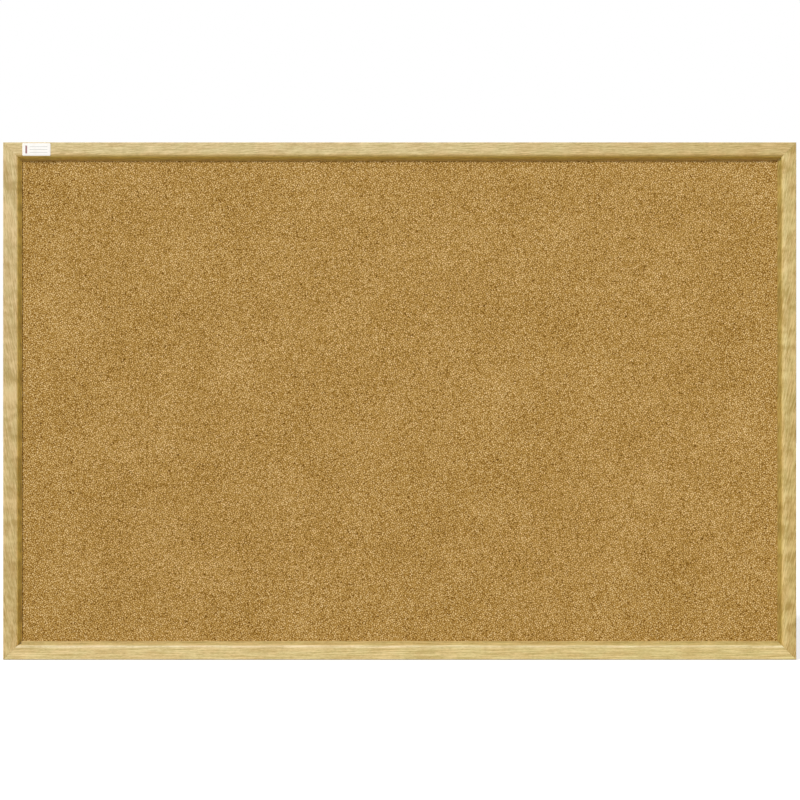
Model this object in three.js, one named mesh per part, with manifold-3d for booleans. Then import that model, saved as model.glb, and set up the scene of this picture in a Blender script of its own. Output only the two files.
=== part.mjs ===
// Cork notice board in a mitred frame, hung on a wall by two ring hangers.
// Millimetres, +Z up. The cork faces -Y, and the flat back of the frame lies in the plane y = 0.
// The origin is the centre of the frame's outline in that plane, where the board meets the wall.
import * as THREE from "three";
import { mergeVertices } from "three/addons/utils/BufferGeometryUtils.js";
import Module from "manifold-3d";

// Board
const boardWidth = 900;
const boardHeight = 587;

// Frame moulding, across its section
const railWidth = 20.5; // outer edge to sight edge
const railDepth = 19; // back to face
const rebateWidth = 7; // how far the lip reaches over the rebate
const ovoloWidth = 4.2; // rounded step down from the face
const ovoloDrop = 5.5;
const filletWidth = 3.3; // flat ledge between the step and the sight edge
const sightEdge = 1.1; // thickness of the lip at the sight edge, on the cork
const sightRound = 0.4;
const outerRound = 1;
const backChamfer = 0.6;
const mitreGlue = 0.1; // glue line in each corner

// Panel, a laminate that drops into the rebate from behind
const corkThickness = 2;
const coreThickness = 8;
const paperThickness = 0.3;
const panelPlay = 1.5; // panel edge to rebate wall

// Flat steel points, driven into the rebate wall over the back of the panel
const pointLength = 15;
const pointWidth = 6;
const pointThickness = 0.6;
const pointBite = 7; // length that is in the wood
const pointTaper = 3; // sharpened part of it
const pointTipWidth = 1.6;
const pointCorner = 1.5;
const pointEndDistance = 100; // corner of the board to the nearest point

// V-shaped wedges, pressed across each mitre from behind
const wedgeLeg = 4.2;
const wedgeLip = 0.9; // hooked end of each leg
const wedgeThickness = 0.6;
const wedgeHeight = 10;
const wedgeSink = 0.3; // below the back of the frame
const wedgeFromCorner = 9.5; // outer corner to the first wedge's ridge, along the mitre
const wedgeFromRebate = 2.6; // rebate's corner to the second wedge's ridge
const wedgeHalfAngle = THREE.MathUtils.degToRad(36);
const wedgeLipAngle = THREE.MathUtils.degToRad(62);

// Ring hangers on the back of the stiles
const hangerDrop = 48; // top of the board to the ring's bar
const strapThickness = 0.8;
const strapWidth = 7.5;
const strapReach = 14.5; // ring's bar to screw
const leafGap = 0.1; // between the strap's two leaves
const foldRadius = 0.8; // where the eye closes on the lower leaf
const ringWireRadius = 0.9;
const ringSideGap = 0.85; // strap to each leg of the ring
const ringCorner = 1.5;
const ringLeg = 2.5; // straight part between corner and bow
const ringButt = 0.4; // between the wire's two ends, inside the eye
const eyeClearance = 0.2; // round the ring's bar
const ringRestGap = 0.3; // bow to strap when the ring hangs

// Pan-head wood screw of each hanger
const screwHeadRadius = 2.9;
const screwHeadHeight = 1.9;
const screwShankRadius = 1.5;
const screwLength = 12; // under the head
const screwTipLength = 2.5;
const screwRecessSpan = 3;
const screwRecessWidth = 0.8;
const screwRecessDepth = 1.1;

// Blank label on the face of the top rail
const labelWidth = 32;
const labelHeight = 14.4;
const labelThickness = 0.4;
const labelCorner = 1.2;
const labelFromSide = 22;

// Clearances and cutting
const pressClearance = 0.1; // round steel that is driven into the wood
const holeClearance = 0.15; // round the screw
const overrun = 1; // how far a cutting shape runs past what it cuts
const weldDistance = 0.0001; // corners closer than this are one

// Counts of pieces and facets
const railPoints = 5;
const stilePoints = 3;
const ovoloSteps = 16;
const roundSteps = 6;
const strapArcSteps = 20;
const ringSteps = 72;
const wireSteps = 5;
const screwSides = 28;

// Worked out from these
const railBackWidth = railWidth - rebateWidth;
const lipBack = railDepth - ovoloDrop - sightEdge; // cork's face, forward of the back plane
const coreFront = lipBack - corkThickness;
const paperFront = coreFront - coreThickness;
const panelBack = paperFront - paperThickness;
const panelWidth = boardWidth - 2 * (railBackWidth + panelPlay);
const panelHeight = boardHeight - 2 * (railBackWidth + panelPlay);

const wasm = await Module();
wasm.setup();

// Solids for cutting, and their way back to geometry

function solidOf(geometry) {
  const bare = geometry.clone();
  bare.deleteAttribute("normal");
  bare.deleteAttribute("uv");
  const merged = mergeVertices(bare, weldDistance);
  return new wasm.Manifold(
    new wasm.Mesh({
      numProp: 3,
      vertProperties: merged.attributes.position.array,
      triVerts: new Uint32Array(merged.index.array),
    }),
  );
}

function geometryOf(solid) {
  const mesh = solid.getMesh();
  const geometry = new THREE.BufferGeometry();
  geometry.setAttribute("position", new THREE.BufferAttribute(mesh.vertProperties, 3));
  geometry.setIndex(new THREE.BufferAttribute(mesh.triVerts, 1));
  const faceted = geometry.toNonIndexed();
  faceted.computeVertexNormals();
  return faceted;
}

function cutAway(geometry, tools) {
  return geometryOf(tools.reduce((rest, tool) => rest.subtract(solidOf(tool)), solidOf(geometry)));
}

function named(name, geometry, material) {
  const mesh = new THREE.Mesh(geometry, material);
  mesh.name = name;
  return mesh;
}

// Extrudes a flat outline and turns it, so that the outline's x and y run along the first two
// directions given and the extrusion along the third.
function extruded(shape, depth, x, y, z, steps = roundSteps) {
  const geometry = new THREE.ExtrudeGeometry(shape, {
    depth,
    bevelEnabled: false,
    curveSegments: steps,
  });
  return geometry.applyMatrix4(new THREE.Matrix4().makeBasis(x, y, z));
}

const right = new THREE.Vector3(1, 0, 0);
const left = new THREE.Vector3(-1, 0, 0);
const back = new THREE.Vector3(0, 1, 0);
const front = new THREE.Vector3(0, -1, 0);
const up = new THREE.Vector3(0, 0, 1);
const down = new THREE.Vector3(0, 0, -1);

// Materials

const oakFoil = () => new THREE.MeshStandardMaterial({ color: 0xcbb27c, roughness: 0.42, metalness: 0 });
const cork = () => new THREE.MeshStandardMaterial({ color: 0xaf894b, roughness: 0.9, metalness: 0 });
const softboard = () => new THREE.MeshStandardMaterial({ color: 0x8d7353, roughness: 0.95, metalness: 0 });
const kraft = () => new THREE.MeshStandardMaterial({ color: 0xa9875c, roughness: 0.85, metalness: 0 });
const zincSteel = () => new THREE.MeshStandardMaterial({ color: 0xb9bcc0, roughness: 0.35, metalness: 1 });
const bareSteel = () => new THREE.MeshStandardMaterial({ color: 0x8f9296, roughness: 0.45, metalness: 1 });
const labelFilm = () => new THREE.MeshStandardMaterial({ color: 0xf7f6f1, roughness: 0.5, metalness: 0 });

// Frame: four lengths of one moulding. Each is drawn as the top rail is, lying along X with its
// outer edge on the X axis and its sight edge below, and a group turns it into its place.

function mouldingOutline() {
  const outline = new THREE.Shape(); // x runs inwards from the outer edge, y forwards from the back
  outline.moveTo(backChamfer, 0);
  outline.lineTo(railBackWidth, 0);
  outline.lineTo(railBackWidth, lipBack);
  outline.lineTo(railWidth, lipBack);
  const ledge = lipBack + sightEdge;
  outline.absarc(railWidth - sightRound, ledge - sightRound, sightRound, 0, Math.PI / 2, false);
  const ovolo = new THREE.EllipseCurve(
    railWidth - filletWidth - ovoloWidth,
    ledge,
    ovoloWidth,
    ovoloDrop,
    0,
    Math.PI / 2,
  );
  ovolo.getPoints(ovoloSteps).forEach((p) => outline.lineTo(p.x, p.y));
  outline.lineTo(outerRound, railDepth);
  outline.absarc(outerRound, railDepth - outerRound, outerRound, Math.PI / 2, Math.PI, false);
  outline.lineTo(0, backChamfer);
  return outline;
}

// Each end is set back by the distance from the outer edge, which makes the mitre, and by its
// share of the glue line.
function mitredRail(length) {
  const geometry = new THREE.ExtrudeGeometry(mouldingOutline(), {
    depth: length,
    bevelEnabled: false,
    curveSegments: roundSteps,
  });
  const place = geometry.attributes.position;
  const glue = mitreGlue * Math.SQRT1_2;
  for (let i = 0; i < place.count; i++) {
    const setBack = place.getX(i) + glue;
    place.setZ(i, place.getZ(i) === 0 ? setBack : length - setBack);
  }
  geometry.applyMatrix4(new THREE.Matrix4().makeBasis(down, front, left));
  return geometry.translate(length / 2, 0, 0);
}

// Outline of a strip of even thickness bent along straight runs, each end longer by some extra.
function stripOutline(runs, thickness, extra) {
  const ends = [0, runs.length - 1];
  const line = runs.map((p, i) => {
    if (!ends.includes(i)) return p.clone();
    const next = runs[i === 0 ? 1 : i - 1];
    return p.clone().add(p.clone().sub(next).setLength(extra));
  });
  const side = (sign) =>
    line.map((p, i) => {
      const before = line[Math.max(i - 1, 0)];
      const after = line[Math.min(i + 1, line.length - 1)];
      const into = (i ? p.clone().sub(before) : after.clone().sub(p)).normalize();
      const out = (i < line.length - 1 ? after.clone().sub(p) : into.clone()).normalize();
      const across = new THREE.Vector2(-(into.y + out.y), into.x + out.x).normalize();
      const half = thickness / 2 / across.dot(new THREE.Vector2(-into.y, into.x));
      return p.clone().addScaledVector(across, sign * half);
    });
  return new THREE.Shape([...side(1), ...side(-1).reverse()]);
}

// The wedge's section, x along the mitre from the outer corner, with its ridge towards the cork.
function wedgeRuns(ridge) {
  const leg = (sign) => {
    const bend = new THREE.Vector2(
      ridge - wedgeLeg * Math.cos(wedgeHalfAngle),
      sign * wedgeLeg * Math.sin(wedgeHalfAngle),
    );
    const hook = new THREE.Vector2(-Math.cos(wedgeLipAngle), sign * Math.sin(wedgeLipAngle));
    return [bend, bend.clone().addScaledVector(hook, wedgeLip)];
  };
  const [upperBend, upperEnd] = leg(1);
  const [lowerBend, lowerEnd] = leg(-1);
  return [upperEnd, upperBend, new THREE.Vector2(ridge, 0), lowerBend, lowerEnd];
}

const wedgeRidges = [wedgeFromCorner, railBackWidth * Math.SQRT2 - wedgeFromRebate];

function wedgeBody(ridge) {
  const outline = stripOutline(wedgeRuns(ridge), wedgeThickness, 0);
  return extruded(outline, wedgeHeight, right, down, back).translate(0, -wedgeSink - wedgeHeight, 0);
}

function wedgePocket(ridge) {
  const outline = stripOutline(wedgeRuns(ridge), wedgeThickness + 2 * pressClearance, pressClearance);
  const depth = wedgeSink + wedgeHeight + pressClearance;
  return extruded(outline, depth + overrun, right, down, back).translate(0, -depth, 0);
}

// Turns a shape drawn along the mitre into the corner where the rail's end is.
function intoCorner(geometry, length, end) {
  geometry.rotateY(end > 0 ? (3 * Math.PI) / 4 : Math.PI / 4);
  return geometry.translate((end * length) / 2, 0, 0);
}

// A point is drawn flat, x along the rail and y inwards from the rebate wall.
function pointOutline(grow) {
  const half = pointWidth / 2 + grow;
  const tipHalf = pointTipWidth / 2 + grow;
  const outEnd = pointLength - pointBite;
  const outline = new THREE.Shape();
  outline.moveTo(-tipHalf, -pointBite - grow);
  outline.lineTo(tipHalf, -pointBite - grow);
  outline.lineTo(half, -pointBite + pointTaper);
  outline.lineTo(half, outEnd - pointCorner);
  outline.absarc(half - pointCorner, outEnd - pointCorner, pointCorner, 0, Math.PI / 2, false);
  outline.lineTo(-half + pointCorner, outEnd);
  outline.absarc(-half + pointCorner, outEnd - pointCorner, pointCorner, Math.PI / 2, Math.PI, false);
  outline.lineTo(-half, -pointBite + pointTaper);
  return outline;
}

function pointBody(grow = 0) {
  const geometry = extruded(pointOutline(grow), pointThickness + 2 * grow, right, down, back);
  return geometry.translate(0, -panelBack - grow, -railBackWidth);
}

function pointPlaces(length, count) {
  const span = length - 2 * pointEndDistance;
  return Array.from({ length: count }, (_, i) => span * (i / (count - 1) - 0.5));
}

// One side of the frame with its points. A stile's screw hole is bored at boreAt along it.
function frameSide(name, railName, length, pointCount, boreAt) {
  const side = new THREE.Group();
  const places = pointPlaces(length, pointCount);
  const tools = places.map((x) => pointBody(pressClearance).translate(x, 0, 0));
  for (const end of [-1, 1]) {
    for (const ridge of wedgeRidges) tools.push(intoCorner(wedgePocket(ridge), length, end));
  }
  if (boreAt !== undefined) {
    tools.push(screwBore().translate(boreAt, 0, -railBackWidth / 2));
  }
  side.add(named(railName, cutAway(mitredRail(length), tools), oakFoil()));
  places.forEach((x, i) => {
    const point = named(`${name}_point_${i + 1}`, pointBody(), bareSteel());
    point.position.x = x;
    side.add(point);
  });
  return side;
}

// Wedges of one corner. The group's X axis runs along the mitre, from the outer corner inwards.
function cornerWedges(name, sideX, sideZ) {
  const corner = new THREE.Group();
  wedgeRidges.forEach((ridge, i) => {
    corner.add(named(`${name}_wedge_${i + 1}`, wedgeBody(ridge), bareSteel()));
  });
  corner.position.set((sideX * boardWidth) / 2, 0, (sideZ * boardHeight) / 2);
  corner.rotation.y = Math.atan2(sideZ, -sideX);
  return corner;
}

// Panel: cork on a soft fibre core, with a backing paper that keeps it from warping

function sheet(name, thickness, faceForward, material) {
  const mesh = named(name, new THREE.BoxGeometry(panelWidth, thickness, panelHeight), material);
  mesh.position.y = thickness / 2 - faceForward;
  return mesh;
}

function panel() {
  const group = new THREE.Group();
  group.add(sheet("cork_sheet", corkThickness, lipBack, cork()));
  group.add(sheet("core_board", coreThickness, coreFront, softboard()));
  group.add(sheet("backing_paper", paperThickness, paperFront, kraft()));
  return group;
}

// Hanger: a steel strap folded round the bar of a wire ring, with one screw through both leaves

const eyeInner = ringWireRadius + eyeClearance;
const eyeCentre = eyeInner + strapThickness; // the eye's back from the frame
const strapTop = 2 * strapThickness + leafGap; // outer face of the upper leaf

// One side of the strip, on the given side of its middle line: up the lower leaf, round the eye,
// through the fold and down the upper leaf. x runs back from the frame and y up.
function strapSide(offset, leafEnd) {
  const middle = eyeInner + strapThickness / 2;
  const upperLeaf = strapTop - strapThickness / 2;
  const foldX = upperLeaf + foldRadius;
  const foldDrop = Math.sqrt((middle + foldRadius) ** 2 - (foldX - eyeCentre) ** 2);
  const turn = Math.atan2(-foldDrop, foldX - eyeCentre);
  const side = new THREE.Path();
  side.moveTo(strapThickness / 2 - offset, -leafEnd);
  side.absarc(eyeCentre, 0, middle + offset, Math.PI, turn, true);
  side.absarc(foldX, -foldDrop, foldRadius - offset, turn + Math.PI, Math.PI, false);
  side.lineTo(upperLeaf + offset, -leafEnd);
  return side.getPoints(strapArcSteps);
}

function strapBody() {
  const leafEnd = strapReach + strapWidth / 2 + overrun;
  const strip = new THREE.Shape([
    ...strapSide(strapThickness / 2, leafEnd),
    ...strapSide(-strapThickness / 2, leafEnd).reverse(),
  ]);
  const folded = extruded(strip, strapWidth + 2 * overrun, back, up, right);
  folded.translate(-strapWidth / 2 - overrun, 0, 0);

  const plan = new THREE.Shape(); // seen from behind, x to the right and y up
  const half = strapWidth / 2;
  const planTop = eyeCentre + overrun;
  plan.moveTo(half, planTop);
  plan.lineTo(-half, planTop);
  plan.absarc(0, -strapReach, half, Math.PI, 2 * Math.PI, false);
  const deep = 2 * eyeCentre + 2 * overrun;
  const blank = extruded(plan, deep, right, up, front, strapArcSteps).translate(0, deep - overrun, 0);

  const hole = new THREE.CylinderGeometry(
    screwShankRadius + holeClearance,
    screwShankRadius + holeClearance,
    2 * deep,
    screwSides,
  ).translate(0, 0, -strapReach);
  return geometryOf(solidOf(folded).intersect(solidOf(blank)).subtract(solidOf(hole)));
}

// A flat path stood upright in the XZ plane, as a curve in space.
class UprightPath extends THREE.Curve {
  constructor(path) {
    super();
    this.path = path;
  }

  getPoint(t, target = new THREE.Vector3()) {
    const p = this.path.getPoint(t);
    return target.set(p.x, 0, p.y);
  }
}

const ringHalf = strapWidth / 2 + ringSideGap + ringWireRadius; // middle to a leg's centre line
const ringReach = ringCorner + ringLeg + ringHalf; // bar to the middle of the bow

// One bent wire, whose two ends meet in the middle of the bar.
function ringBody() {
  const bowTop = -ringCorner - ringLeg;
  const wire = new THREE.Path();
  wire.moveTo(ringButt / 2, 0);
  wire.lineTo(ringHalf - ringCorner, 0);
  wire.absarc(ringHalf - ringCorner, -ringCorner, ringCorner, Math.PI / 2, 0, true);
  wire.lineTo(ringHalf, bowTop);
  wire.absarc(0, bowTop, ringHalf, 0, -Math.PI, true);
  wire.lineTo(-ringHalf, -ringCorner);
  wire.absarc(ringCorner - ringHalf, -ringCorner, ringCorner, Math.PI, Math.PI / 2, true);
  wire.lineTo(-ringButt / 2, 0);
  const section = new THREE.Shape();
  section.absarc(0, 0, ringWireRadius, 0, 2 * Math.PI, false);
  return new THREE.ExtrudeGeometry(section, {
    steps: ringSteps,
    curveSegments: wireSteps,
    extrudePath: new UprightPath(wire),
  });
}

// The ring hangs over its strap, held off the vertical by the strap's upper leaf.
function ringHangAngle() {
  return Math.asin((strapTop + ringRestGap + ringWireRadius - eyeCentre) / ringReach);
}

function screwBody() {
  const profile = new THREE.Path(); // x is the radius, y backwards out of the wood
  profile.moveTo(0, -screwLength);
  profile.lineTo(screwShankRadius, -screwLength + screwTipLength);
  profile.lineTo(screwShankRadius, 0);
  profile.lineTo(screwHeadRadius, 0);
  const dome = screwHeadHeight / 2;
  profile.lineTo(screwHeadRadius, screwHeadHeight - dome);
  profile.absellipse(
    screwHeadRadius - dome,
    screwHeadHeight - dome,
    dome,
    dome,
    0,
    Math.PI / 2,
    false,
  );
  profile.lineTo(0, screwHeadHeight);
  const turned = new THREE.LatheGeometry(profile.getPoints(roundSteps), screwSides);
  const arm = (spanX, spanZ) => {
    const box = new THREE.BoxGeometry(spanX, screwRecessDepth + overrun, spanZ);
    return box.translate(0, screwHeadHeight + (overrun - screwRecessDepth) / 2, 0);
  };
  return cutAway(turned, [
    arm(screwRecessSpan, screwRecessWidth),
    arm(screwRecessWidth, screwRecessSpan),
  ]).translate(0, strapTop, -strapReach);
}

// The bore is drawn on the Y axis, from the back of the frame to past the screw's tip.
function screwBore() {
  const radius = screwShankRadius + holeClearance;
  const depth = screwLength - strapTop + holeClearance;
  const bore = new THREE.CylinderGeometry(radius, radius, depth + overrun, screwSides);
  return bore.translate(0, (overrun - depth) / 2, 0);
}

function hanger(name, sideX) {
  const group = new THREE.Group();
  group.add(named(`${name}_hanger_strap`, strapBody(), zincSteel()));
  const ring = named(`${name}_hanger_ring`, ringBody(), zincSteel());
  ring.position.y = eyeCentre;
  ring.rotation.x = ringHangAngle();
  group.add(ring);
  group.add(named(`${name}_hanger_screw`, screwBody(), zincSteel()));
  group.position.set(sideX * (boardWidth / 2 - railBackWidth / 2), 0, boardHeight / 2 - hangerDrop);
  return group;
}

// Label: a stiff film stuck on the face from its upper edge down, standing over the rounded step

function label() {
  const half = labelWidth / 2 - labelCorner;
  const low = -labelHeight + labelCorner;
  const outline = new THREE.Shape(); // x to the right, y up from the top edge
  outline.absarc(half, -labelCorner, labelCorner, 0, Math.PI / 2, false);
  outline.absarc(-half, -labelCorner, labelCorner, Math.PI / 2, Math.PI, false);
  outline.absarc(-half, low, labelCorner, Math.PI, 1.5 * Math.PI, false);
  outline.absarc(half, low, labelCorner, 1.5 * Math.PI, 2 * Math.PI, false);
  const film = named("label", extruded(outline, labelThickness, right, up, front), labelFilm());
  film.position.set(
    -boardWidth / 2 + labelFromSide + labelWidth / 2,
    -railDepth,
    boardHeight / 2 - outerRound,
  );
  return film;
}

// Assembly

const board = new THREE.Group();
const screwHeight = boardHeight / 2 - hangerDrop - strapReach;

const topSide = frameSide("top", "top_rail", boardWidth, railPoints);
topSide.position.z = boardHeight / 2;
const bottomSide = frameSide("bottom", "bottom_rail", boardWidth, railPoints);
bottomSide.position.z = -boardHeight / 2;
bottomSide.rotation.y = Math.PI;
const leftSide = frameSide("left", "left_stile", boardHeight, stilePoints, screwHeight);
leftSide.position.x = -boardWidth / 2;
leftSide.rotation.y = -Math.PI / 2;
const rightSide = frameSide("right", "right_stile", boardHeight, stilePoints, -screwHeight);
rightSide.position.x = boardWidth / 2;
rightSide.rotation.y = Math.PI / 2;
board.add(topSide, bottomSide, leftSide, rightSide);

board.add(cornerWedges("top_left", -1, 1), cornerWedges("top_right", 1, 1));
board.add(cornerWedges("bottom_left", -1, -1), cornerWedges("bottom_right", 1, -1));
board.add(panel(), hanger("left", -1), hanger("right", 1), label());

export default board;
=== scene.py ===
# Cork notice board in a mitred oak-look frame, with ring hangers on its back.
# Metres, +Z up. The cork faces -Y, and the flat back of the frame lies in the plane y = 0.
import math

import bmesh
import bpy
import numpy as np
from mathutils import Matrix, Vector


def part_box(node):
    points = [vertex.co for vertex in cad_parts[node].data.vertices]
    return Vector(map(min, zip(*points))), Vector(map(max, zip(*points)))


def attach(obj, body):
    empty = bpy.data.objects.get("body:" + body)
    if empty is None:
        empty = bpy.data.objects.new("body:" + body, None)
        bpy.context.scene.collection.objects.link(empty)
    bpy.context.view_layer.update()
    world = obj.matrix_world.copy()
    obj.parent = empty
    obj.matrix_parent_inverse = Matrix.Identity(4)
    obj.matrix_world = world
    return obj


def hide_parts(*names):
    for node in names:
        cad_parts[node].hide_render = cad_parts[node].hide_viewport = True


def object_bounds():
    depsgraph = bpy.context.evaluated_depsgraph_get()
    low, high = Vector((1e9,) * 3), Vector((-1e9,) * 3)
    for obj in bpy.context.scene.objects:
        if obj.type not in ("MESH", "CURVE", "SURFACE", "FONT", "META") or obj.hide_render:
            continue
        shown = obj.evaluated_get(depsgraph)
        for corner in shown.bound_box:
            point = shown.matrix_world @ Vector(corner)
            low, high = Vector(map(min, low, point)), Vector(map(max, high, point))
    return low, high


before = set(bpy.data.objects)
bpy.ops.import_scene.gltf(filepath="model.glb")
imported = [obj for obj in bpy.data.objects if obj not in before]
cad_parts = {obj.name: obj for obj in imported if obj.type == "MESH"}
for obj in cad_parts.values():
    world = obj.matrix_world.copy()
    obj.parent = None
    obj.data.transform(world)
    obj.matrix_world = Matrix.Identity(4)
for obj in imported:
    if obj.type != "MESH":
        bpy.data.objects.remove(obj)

cad_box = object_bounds()
low, high = (np.array(corner) for corner in cad_box)
MM = 0.001

# Camera: the board is seen square on, from its middle and from far enough away that none of the
# frame's outer edges show. The board's width in the picture sets the scale.
PICTURE_PIXELS = 800
BOARD_PIXELS = 793.5
BOARD_MIDDLE_PIXELS = (399.7, 401.0)  # across and down
LENS_DISTANCE = 2.4  # lens to the frame's face
SENSOR = 36.0  # millimetres

face_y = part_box("top_rail")[0][1]
pixel = (high[0] - low[0]) / BOARD_PIXELS
camera = bpy.data.objects.new("camera", bpy.data.cameras.new("camera"))
camera.data.sensor_width = SENSOR
camera.data.lens = SENSOR * LENS_DISTANCE / (PICTURE_PIXELS * pixel)
camera.location = (
    (PICTURE_PIXELS / 2 - BOARD_MIDDLE_PIXELS[0]) * pixel,
    face_y - LENS_DISTANCE,
    (BOARD_MIDDLE_PIXELS[1] - PICTURE_PIXELS / 2) * pixel,
)
camera.rotation_euler = (math.pi / 2, 0, 0)
bpy.context.scene.collection.objects.link(camera)
bpy.context.scene.camera = camera
bpy.context.scene.view_settings.view_transform = "Standard"


# Floor, background and lamps: a pale floor just under the board, white all round, a soft lamp high
# on the left in front and a broader one behind. All the light together comes to about 1.
class Wire:
    """One output of a node. Arithmetic on it adds Math nodes."""

    def __init__(self, finish, socket):
        self.finish, self.socket = finish, socket

    def maths(self, operation, first, second=0.0):
        return self.finish.add("Math", {"operation": operation}, {0: first, 1: second})

    def __add__(self, other):
        return self.maths("ADD", self, other)

    def __radd__(self, other):
        return self.maths("ADD", other, self)

    def __sub__(self, other):
        return self.maths("SUBTRACT", self, other)

    def __rsub__(self, other):
        return self.maths("SUBTRACT", other, self)

    def __mul__(self, other):
        return self.maths("MULTIPLY", self, other)

    def __rmul__(self, other):
        return self.maths("MULTIPLY", other, self)

    def __truediv__(self, other):
        return self.maths("DIVIDE", self, other)

    def __or__(self, other):
        return self.maths("MAXIMUM", self, other)

    def __abs__(self):
        return self.maths("ABSOLUTE", self)

    def rise(self, start, end):
        """Goes smoothly from 0 at start to 1 at end."""
        ends = {"Value": self, "From Min": start, "From Max": end}
        return self.finish.add("MapRange", {"interpolation_type": "SMOOTHSTEP"}, ends)


class Finish:
    """The nodes of one material, or of the world."""

    def __init__(self, owner):
        owner.use_nodes = True
        self.owner = owner
        self.tree = owner.node_tree
        self.tree.nodes.clear()

    def add(self, kind, settings=None, sockets=None, out=0):
        """Adds a node: its settings come first, then its sockets' values or links."""
        node = self.tree.nodes.new("ShaderNode" + kind)
        for key, value in (settings or {}).items():
            if key == "stops":
                ramp = node.color_ramp.elements
                while len(ramp) < len(value):
                    ramp.new(1.0)
                for stop, (place, colour) in zip(ramp, value):
                    stop.position, stop.color = place, colour
            else:
                setattr(node, key, value)
        for key, value in (sockets or {}).items():
            if isinstance(value, Wire):
                self.tree.links.new(value.socket, node.inputs[key])
            else:
                node.inputs[key].default_value = value
        return Wire(self, node.outputs[out]) if node.outputs else None

    def mix(self, share, first, second, mode="MIX"):
        """Mixes two colours."""
        settings = {"data_type": "RGBA", "blend_type": mode}
        return self.add("Mix", settings, {0: share, 6: first, 7: second}, 2)

    def vector(self, x, y, z=0.0):
        return self.add("CombineXYZ", None, {0: x, 1: y, 2: z})

    def part(self, vector, index):
        """One coordinate of a place, or one channel of a colour."""
        return self.add("SeparateXYZ", None, {0: vector}, index)

    def noise(self, place, detail=2.0, roughness=0.5):
        """Smooth noise with features about 1 unit of place apart."""
        sockets = {"Vector": place, "Scale": 1.0, "Detail": detail, "Roughness": roughness}
        return self.add("TexNoise", None, sockets)

    def object_place(self, scale):
        """Object coordinates, in features of the given size."""
        here = self.add("TexCoord", out="Object")
        return self.add("VectorMath", {"operation": "SCALE"}, {0: here, "Scale": 1 / scale})

    def stretched_place(self, to_the_metre):
        """Object coordinates, in so many features to the metre along each axis."""
        here = self.add("TexCoord", out="Object")
        return self.add("VectorMath", {"operation": "MULTIPLY"}, {0: here, 1: to_the_metre})

    def bump(self, height, depth):
        """A normal for a surface whose height runs from 0 to 1 over the given depth."""
        return self.add("Bump", None, {"Height": height, "Distance": depth, "Strength": 1.0})

    def surface(self, sockets):
        """Ends the material in one shader with these sockets."""
        shader = self.add("BsdfPrincipled", None, sockets)
        self.add("OutputMaterial", None, {"Surface": shader})
        return self.owner


def tone(red, green, blue):
    """A colour as it shows, each part from 0 to 255, as a linear one."""
    shown = np.array([red, green, blue]) / 255
    linear = np.where(shown <= 0.04045, shown / 12.92, ((shown + 0.055) / 1.055) ** 2.4)
    return (*linear.tolist(), 1.0)


ROOM_LIGHT = 0.5
KEY_LIGHT = 2.91
KEY_TOWARDS = (-1.0, -1.0, 1.15)
KEY_SPREAD = math.radians(9)
REAR_LIGHT = 1.4
REAR_TOWARDS = (0.85, 1.0, 0.45)
REAR_SPREAD = math.radians(45)
FLOOR_REACH = 12.0
FLOOR_DROP = 0.4 * MM
FLOOR_GREY = 0.58
FLOOR_GLOW = 0.5  # added only for what looks at the floor, which makes it white


def seen_directly(finish):
    """1 for the rays of the camera, of gloss and of glass, which show the background as white."""
    kinds = ("Camera", "Glossy", "Transmission")
    camera_ray, gloss_ray, glass_ray = (
        finish.add("LightPath", out=f"Is {kind} Ray") for kind in kinds
    )
    return camera_ray | gloss_ray | glass_ray


world = bpy.data.worlds.new("room")
bpy.context.scene.world = world
room = Finish(world)
room_strength = ROOM_LIGHT + (1 - ROOM_LIGHT) * seen_directly(room)
white_room = room.add("Background", None, {"Color": (1, 1, 1, 1), "Strength": room_strength})
room.add("OutputWorld", None, {"Surface": white_room})


def lamp(name, strength, towards, spread):
    """A far, soft lamp that shines from the given direction."""
    data = bpy.data.lights.new(name, "SUN")
    data.energy, data.angle = strength, spread
    light = bpy.data.objects.new(name, data)
    away = np.array(towards) / np.linalg.norm(towards)
    light.rotation_euler = (math.acos(away[2]), 0, math.atan2(away[0], -away[1]))
    light.location = away
    bpy.context.scene.collection.objects.link(light)


lamp("key_lamp", KEY_LIGHT, KEY_TOWARDS, KEY_SPREAD)
lamp("rear_lamp", REAR_LIGHT, REAR_TOWARDS, REAR_SPREAD)

floor_paint = Finish(bpy.data.materials.new("floor_paint"))
matt = floor_paint.add("BsdfDiffuse", None, {"Color": (FLOOR_GREY, FLOOR_GREY, FLOOR_GREY, 1)})
glow = floor_paint.add("Emission", None, {"Strength": FLOOR_GLOW * seen_directly(floor_paint)})
matt_and_glow = floor_paint.add("AddShader", None, {0: matt, 1: glow})
floor_paint.add("OutputMaterial", None, {"Surface": matt_and_glow})

floor_z = low[2] - FLOOR_DROP
floor_mesh = bpy.data.meshes.new("floor")
quarters = ((-1, -1), (1, -1), (1, 1), (-1, 1))
corners = [(x * FLOOR_REACH, y * FLOOR_REACH, floor_z) for x, y in quarters]
floor_mesh.from_pydata(corners, [], [(0, 1, 2, 3)])
floor_mesh.materials.append(floor_paint.owner)
floor = bpy.data.objects.new("floor", floor_mesh)
bpy.context.scene.collection.objects.link(floor)

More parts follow.
